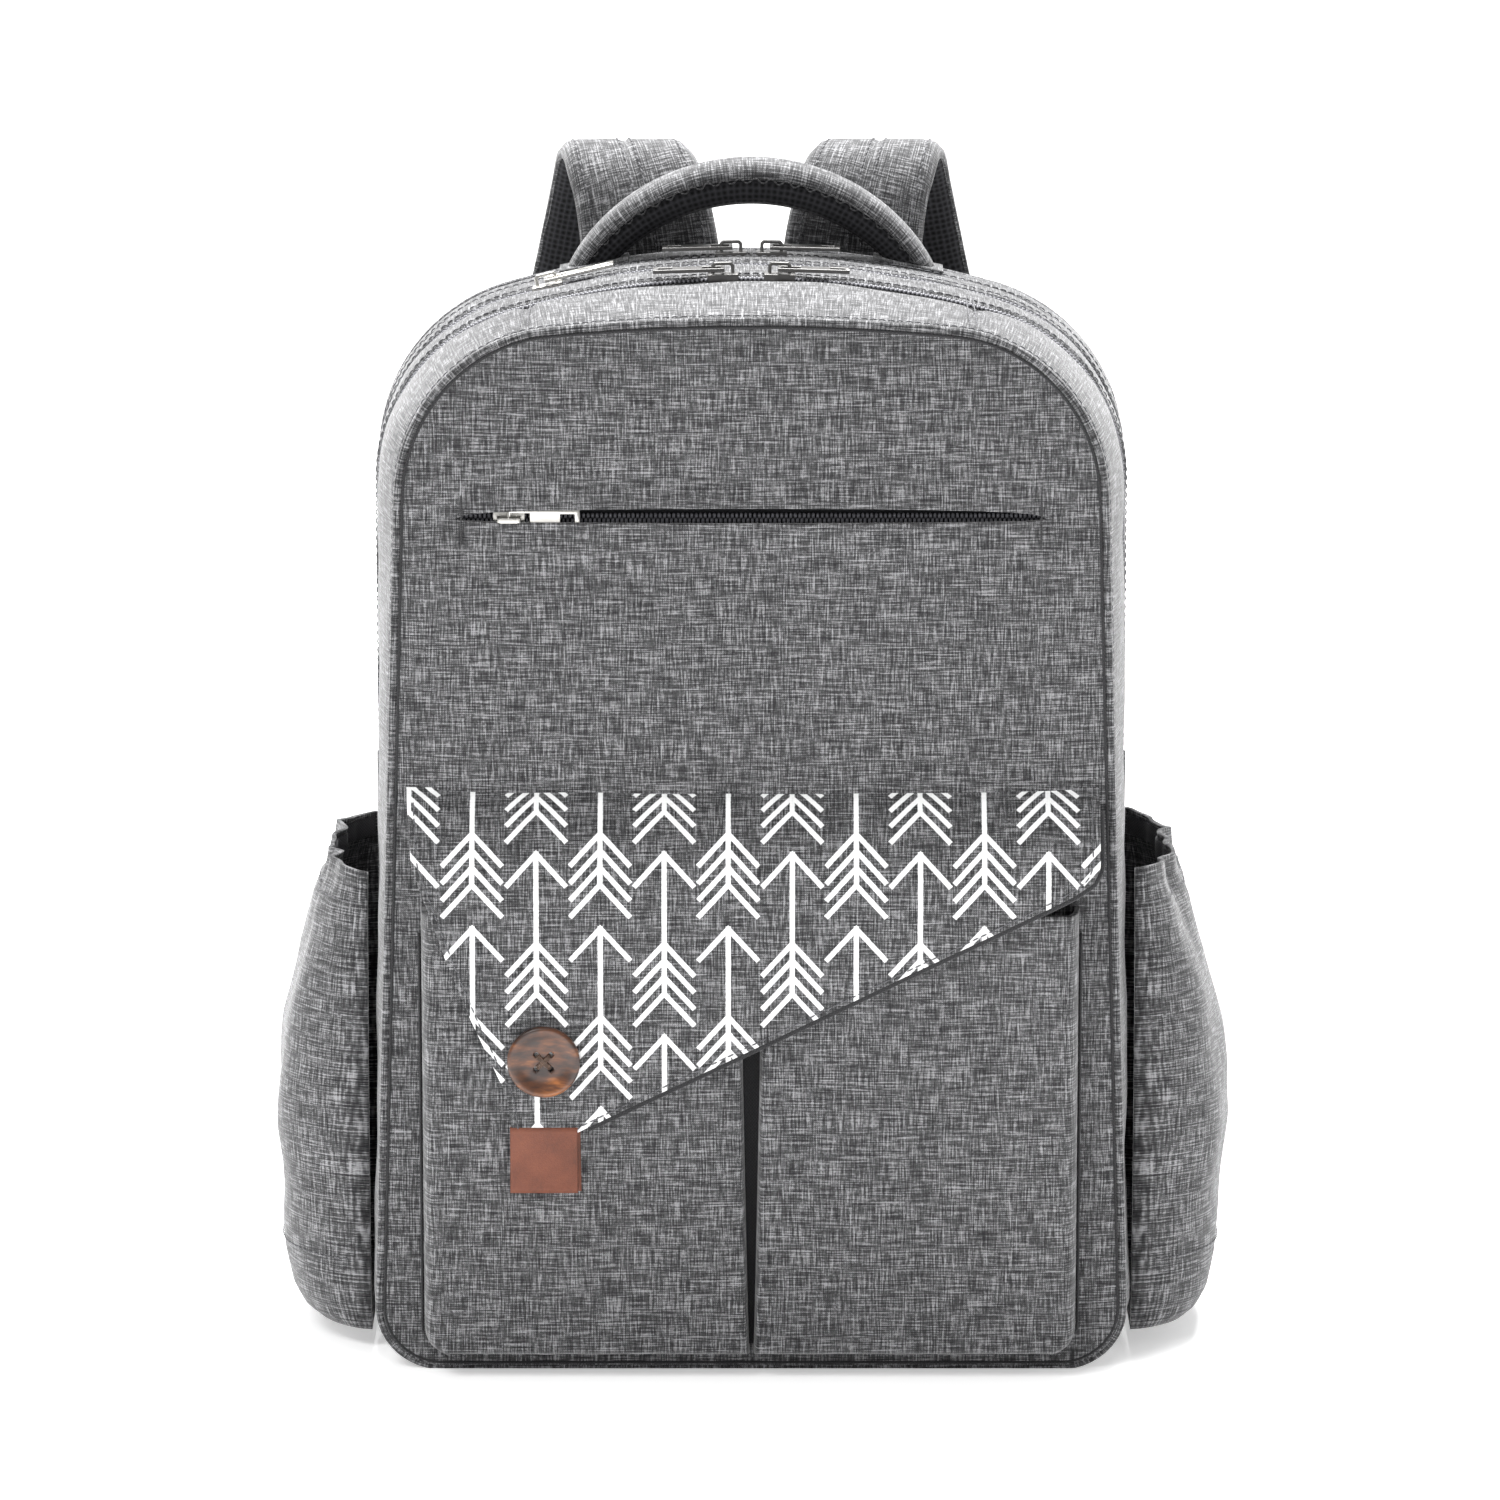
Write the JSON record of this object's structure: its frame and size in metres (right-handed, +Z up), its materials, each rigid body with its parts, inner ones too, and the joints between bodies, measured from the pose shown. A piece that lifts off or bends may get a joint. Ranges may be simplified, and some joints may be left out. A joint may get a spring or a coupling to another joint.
{
  "type": "diaper backpack",
  "caption": "Boxy cloth backpack for baby care: zipped compartments over an arched top, patch pockets under a slanted buttoned flap, side pockets, carry handle and padded shoulder straps.",
  "frame": {"origin": "on the ground under the middle of the bag's width, at the mount base", "axes": "+X to the right as seen from the front, +Y towards the wearer's back and straps, +Z up; the printed front faces -Y"},
  "size_m": [0.374, 0.2444, 0.4571],
  "materials": {
    "heather_print": "heather grey woven cloth with a pale arrow print",
    "heather_cloth": "heather grey woven cloth, plain",
    "mesh_lining": "charcoal spacer mesh",
    "lining": "plain grey polyester lining",
    "foam": "soft polyethylene foam",
    "elastic": "knitted elastic",
    "webbing": "charcoal woven polyester webbing",
    "thread": "brown sewing thread",
    "zip_tape": "dark grey coil zip on woven tape",
    "zip_metal": "nickel plated zinc, lightly brushed",
    "lock_plastic": "moulded black acetal",
    "button_horn": "polished dark brown horn look resin",
    "tab_leather": "tan brown vegetable tanned leather",
    "magnet_steel": "plated magnetic snap",
    "board": "polyethylene stiffener"
  },
  "bodies": {
    "root": {"back_foam": "foam", "back_panel": "heather_cloth", "base_board": "board", "base_gusset": "heather_cloth", "divider_front": "lining", "divider_rear": "lining", "divider_strip": "heather_cloth", "front_lower_panel": "heather_cloth", "front_pocket_left": "heather_cloth", "front_pocket_right": "heather_cloth", "front_zip_rear_half": "zip_tape", "handle_tabs": "heather_cloth", "main_zip_chain": "zip_tape", "middle_strip": "heather_cloth", "middle_zip_chain": "zip_tape", "pocket_elastic_left": "elastic", "pocket_elastic_right": "elastic", "pocket_magnet": "magnet_steel", "rear_strip": "heather_cloth", "side_pocket_left": "heather_cloth", "side_pocket_right": "heather_cloth", "strap_anchor_left": "webbing", "strap_anchor_right": "webbing", "strap_yoke": "heather_cloth"},
    "lid": {"front_zip_front_half": "zip_tape", "lid_gusset": "heather_cloth", "lid_panel_lower": "heather_cloth", "lid_panel_upper": "heather_cloth", "pocket_pouch": "lining", "pocket_zip_chain": "zip_tape"},
    "flap": {"button": "button_horn", "button_thread": "thread", "flap": "heather_print", "flap_magnet": "magnet_steel", "leather_tab": "tab_leather"},
    "handle": {"handle_core": "foam", "handle_grip": "heather_cloth", "handle_mesh": "mesh_lining"},
    "strap_left": {"ladder_lock_left": "lock_plastic", "strap_mesh_left": "mesh_lining", "strap_pad_left": "heather_cloth", "strap_webbing_left": "webbing"},
    "strap_right": {"ladder_lock_right": "lock_plastic", "strap_mesh_right": "mesh_lining", "strap_pad_right": "heather_cloth", "strap_webbing_right": "webbing"},
    "main_slider_left": {"main_slider_left": "zip_metal"},
    "main_slider_right": {"main_slider_right": "zip_metal"},
    "middle_slider": {"middle_slider": "zip_metal"},
    "front_slider_left": {"front_slider_left": "zip_metal"},
    "front_slider_right": {"front_slider_right": "zip_metal"},
    "pocket_slider": {"pocket_slider": "zip_metal"},
    "main_pull_left": {"main_pull_left": "zip_metal"},
    "main_pull_right": {"main_pull_right": "zip_metal"},
    "middle_pull": {"middle_pull": "zip_metal"},
    "front_pull_left": {"front_pull_left": "zip_metal"},
    "front_pull_right": {"front_pull_right": "zip_metal"},
    "pocket_pull": {"pocket_pull": "zip_metal"}
  },
  "joints": [
    {"name": "lid_hinge", "type": "hinge", "parent": "root", "child": "lid", "pos_m": [0, -0.083, 0.231], "axis": [1, 0, 0], "range_deg": [0, 60]},
    {"name": "flap_hinge", "type": "hinge", "parent": "root", "child": "flap", "pos_m": [0, -0.084, 0.229], "axis": [-1, 0, 0], "range_deg": [0, 90]},
    {"name": "handle_flex", "type": "hinge", "parent": "root", "child": "handle", "pos_m": [0, 0.061, 0.414], "axis": [1, 0, 0], "range_deg": [-8, 10], "stiffness_Nm_per_rad": 0.15},
    {"name": "strap_left_swing", "type": "hinge", "parent": "root", "child": "strap_left", "pos_m": [-0.041, 0.078, 0.4155], "axis": [1, 0, 0], "range_deg": [0, 15]},
    {"name": "strap_right_swing", "type": "hinge", "parent": "root", "child": "strap_right", "pos_m": [0.041, 0.078, 0.4155], "axis": [1, 0, 0], "range_deg": [0, 15]},
    {"name": "main_slider_left_run", "type": "hinge", "parent": "root", "child": "main_slider_left", "pos_m": [0, 0.045, 0.067], "axis": [0, -1, 0], "range_deg": [0, 12]},
    {"name": "main_slider_right_run", "type": "hinge", "parent": "root", "child": "main_slider_right", "pos_m": [0, 0.045, 0.067], "axis": [0, 1, 0], "range_deg": [0, 12]},
    {"name": "middle_slider_run", "type": "hinge", "parent": "root", "child": "middle_slider", "pos_m": [0, 0.021, 0.067], "axis": [0, 1, 0], "range_deg": [0, 26]},
    {"name": "front_slider_left_run", "type": "hinge", "parent": "lid", "child": "front_slider_left", "pos_m": [0, -0.01, 0.067], "axis": [0, -1, 0], "range_deg": [0, 11]},
    {"name": "front_slider_right_run", "type": "hinge", "parent": "lid", "child": "front_slider_right", "pos_m": [0, -0.01, 0.067], "axis": [0, 1, 0], "range_deg": [0, 11]},
    {"name": "pocket_slider_run", "type": "slide", "parent": "lid", "child": "pocket_slider", "axis": [1, 0, 0], "range_m": [0, 0.178]},
    {"name": "main_pull_left_swing", "type": "hinge", "parent": "main_slider_left", "child": "main_pull_left", "pos_m": [-0.008, 0.045, 0.42121], "axis": [0, 1, 0], "range_deg": [0, 110]},
    {"name": "main_pull_right_swing", "type": "hinge", "parent": "main_slider_right", "child": "main_pull_right", "pos_m": [0.008, 0.045, 0.42121], "axis": [0, -1, 0], "range_deg": [0, 110]},
    {"name": "middle_pull_swing", "type": "hinge", "parent": "middle_slider", "child": "middle_pull", "pos_m": [-0.08, 0.021, 0.41203], "axis": [0, -1, 0], "range_deg": [0, 170]},
    {"name": "front_pull_left_swing", "type": "hinge", "parent": "front_slider_left", "child": "front_pull_left", "pos_m": [-0.011, -0.01, 0.42113], "axis": [0, 1, 0], "range_deg": [0, 110]},
    {"name": "front_pull_right_swing", "type": "hinge", "parent": "front_slider_right", "child": "front_pull_right", "pos_m": [0.011, -0.01, 0.42113], "axis": [0, -1, 0], "range_deg": [0, 110]},
    {"name": "pocket_pull_swing", "type": "hinge", "parent": "pocket_slider", "child": "pocket_pull", "pos_m": [-0.092, -0.0811, 0.336], "axis": [0, 0, -1], "range_deg": [0, 150]}
  ]
}
